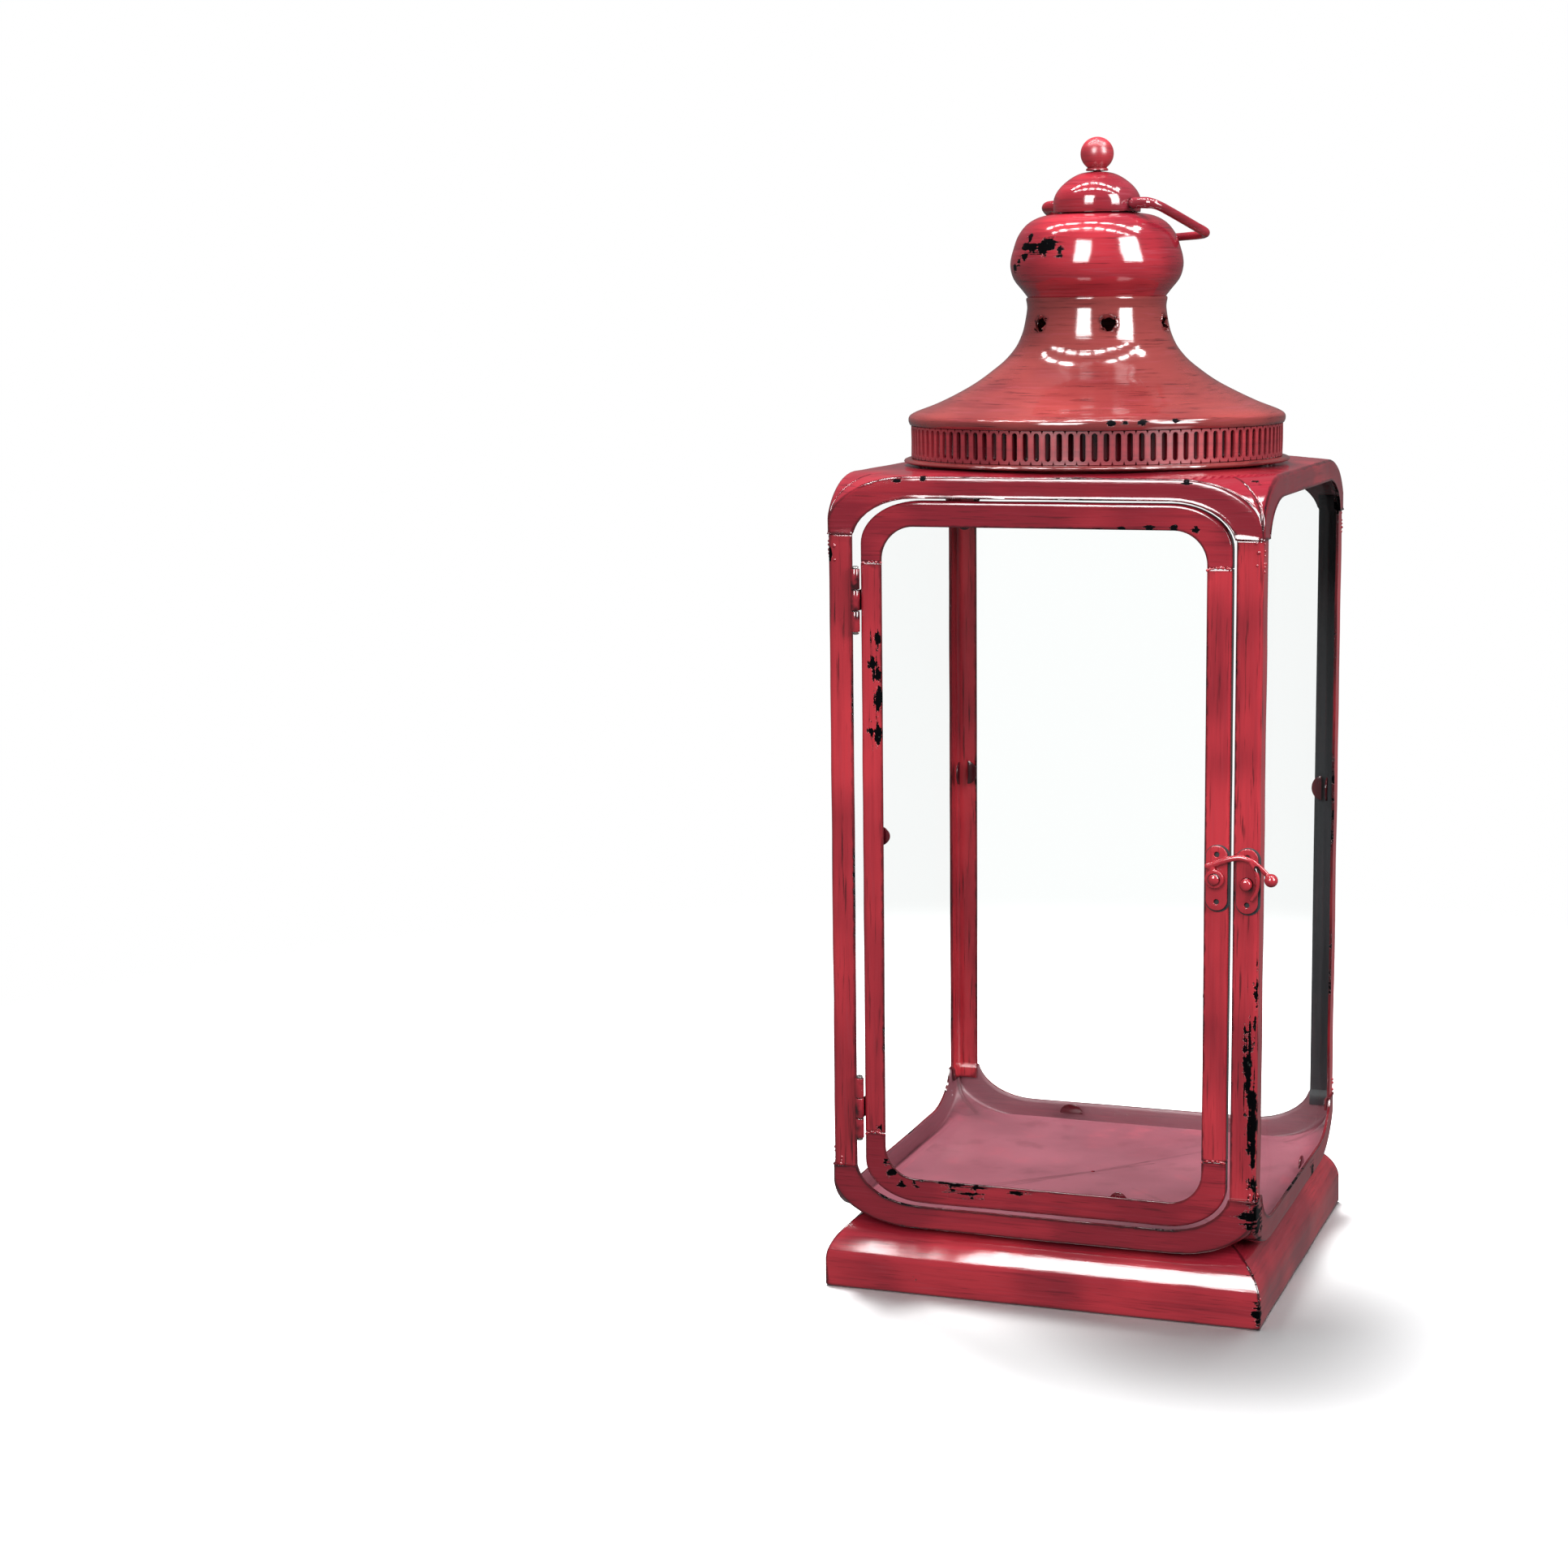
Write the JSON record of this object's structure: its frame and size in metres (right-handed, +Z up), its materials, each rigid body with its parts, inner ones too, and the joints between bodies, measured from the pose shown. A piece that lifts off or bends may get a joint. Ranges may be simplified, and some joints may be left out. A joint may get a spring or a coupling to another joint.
{
  "type": "barn lantern",
  "caption": "Square sheet-metal lantern with glass on four sides, a hinged door with a horn latch, a slotted chimney collar, a bell and bulb vent, a ball finial and a swinging wire bail.",
  "frame": {"origin": "on the floor plane, under the chimney's axis, at the centre of the base", "axes": "+Z up, -Y out through the door, +X towards the latch side"},
  "size_m": [0.2114, 0.2089, 0.5314],
  "materials": {
    "red_enamel": "glossy distressed red enamel over black, chipped on edges",
    "dark_enamel": "thin dark red enamel on the pane clips",
    "bare_steel": "dull steel",
    "clear_glass": "clear window glass"
  },
  "bodies": {
    "lantern": {"base_panel_back": "red_enamel", "base_panel_front": "red_enamel", "base_panel_left": "red_enamel", "base_panel_right": "red_enamel", "body_pan": "red_enamel", "cap_dome": "red_enamel", "chimney_bell": "red_enamel", "chimney_bulb": "red_enamel", "clip_back_bottom": "dark_enamel", "clip_back_left": "dark_enamel", "clip_back_right": "dark_enamel", "clip_back_top": "dark_enamel", "clip_left_bottom": "dark_enamel", "clip_left_left": "dark_enamel", "clip_left_right": "dark_enamel", "clip_left_top": "dark_enamel", "clip_right_bottom": "dark_enamel", "clip_right_left": "dark_enamel", "clip_right_right": "dark_enamel", "clip_right_top": "dark_enamel", "corner_post_front_left": "red_enamel", "corner_post_front_right": "red_enamel", "corner_post_rear_left": "red_enamel", "corner_post_rear_right": "red_enamel", "finial_ball": "red_enamel", "finial_nut": "bare_steel", "gallery_foot_ring": "red_enamel", "glass_back": "clear_glass", "glass_left": "clear_glass", "glass_right": "clear_glass", "hinge_lower_pin": "bare_steel", "hinge_lower_post_leaf": "red_enamel", "hinge_upper_pin": "bare_steel", "hinge_upper_post_leaf": "red_enamel", "latch_post_plate": "red_enamel", "latch_stud": "red_enamel", "roof_shell": "red_enamel", "vent_gallery": "red_enamel"},
    "door": {"clip_door_bottom": "dark_enamel", "clip_door_left": "dark_enamel", "clip_door_right": "dark_enamel", "clip_door_top": "dark_enamel", "door_bottom_rail": "red_enamel", "door_glass": "clear_glass", "door_left_stile": "red_enamel", "door_right_stile": "red_enamel", "door_top_rail": "red_enamel", "hinge_lower_door_leaf": "red_enamel", "hinge_upper_door_leaf": "red_enamel", "latch_door_plate": "red_enamel", "latch_pivot_rivet": "red_enamel"},
    "lever": {"latch_lever": "red_enamel"},
    "bail": {"bail_handle": "red_enamel"}
  },
  "joints": [
    {"name": "door_swing", "type": "hinge", "parent": "lantern", "child": "door", "pos_m": [-0.086, -0.1006, 0.2], "axis": [0, 0, -1], "range_deg": [0, 170]},
    {"name": "latch_lift", "type": "hinge", "parent": "door", "child": "lever", "pos_m": [0.0803, -0.1027, 0.2048], "axis": [0, -1, 0], "range_deg": [0, 100]},
    {"name": "bail_swing", "type": "hinge", "parent": "lantern", "child": "bail", "pos_m": [0, 0, 0.5005], "axis": [0.8988, -0.4384, 0], "range_deg": [0, 223]}
  ]
}
